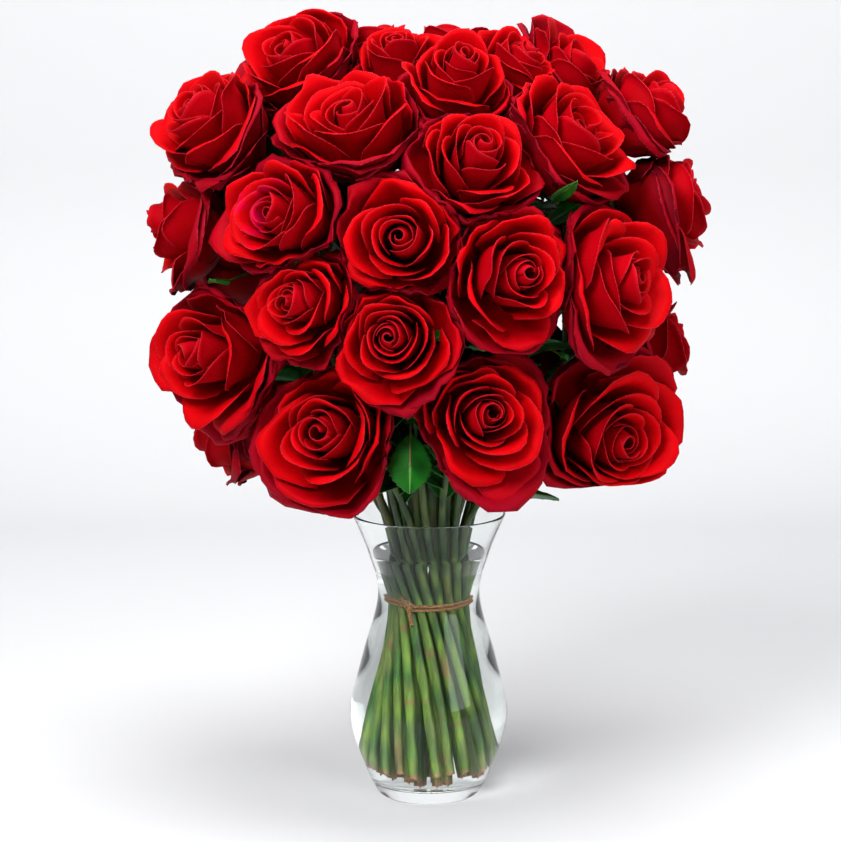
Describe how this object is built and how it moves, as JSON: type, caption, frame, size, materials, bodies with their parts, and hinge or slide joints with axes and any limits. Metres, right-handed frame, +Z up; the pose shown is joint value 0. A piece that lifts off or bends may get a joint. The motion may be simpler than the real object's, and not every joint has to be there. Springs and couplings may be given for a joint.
{
  "type": "roses in a vase",
  "caption": "A rounded hand-tied bunch of red roses with leaves, standing in water in a clear glass vase with a round belly, narrow neck and flared rim.",
  "frame": {"origin": "centre of the vase's flat underside", "axes": "+Z up along the vase's axis, -Y towards the front of the bunch"},
  "size_m": [0.4037, 0.336, 0.5636],
  "materials": {
    "petal": "soft velvety red petals, darker at the base and on the backs",
    "stem": "smooth green stems with waxy leaves",
    "glass": "clear polished glass",
    "water": "clear still water",
    "twine": "rough brown jute twine"
  },
  "bodies": {
    "root": {"vase": "glass", "water": "water", "twine_tie": "twine", "rose_01": "petal", "rose_02": "petal", "rose_03": "petal", "rose_04": "petal", "rose_05": "petal", "rose_06": "petal", "rose_07": "petal", "rose_08": "petal", "rose_09": "petal", "rose_10": "petal", "rose_11": "petal", "rose_12": "petal", "rose_13": "petal", "rose_14": "petal", "rose_15": "petal", "rose_16": "petal", "rose_17": "petal", "rose_18": "petal", "rose_19": "petal", "rose_20": "petal", "rose_21": "petal", "rose_22": "petal", "rose_23": "petal", "rose_24": "petal", "rose_25": "petal", "rose_26": "petal", "rose_27": "petal", "rose_28": "petal", "rose_29": "petal", "rose_30": "petal", "rose_31": "petal", "rose_32": "petal", "rose_33": "petal", "rose_34": "petal", "rose_35": "petal", "rose_36": "petal", "stems_01": "stem", "stems_02": "stem", "stems_03": "stem", "stems_04": "stem", "stems_05": "stem", "stems_06": "stem", "stems_07": "stem", "stems_08": "stem", "stems_09": "stem", "stems_10": "stem", "stems_11": "stem", "stems_12": "stem", "stems_13": "stem", "stems_14": "stem", "stems_15": "stem", "stems_16": "stem", "stems_17": "stem", "stems_18": "stem"}
  },
  "joints": []
}
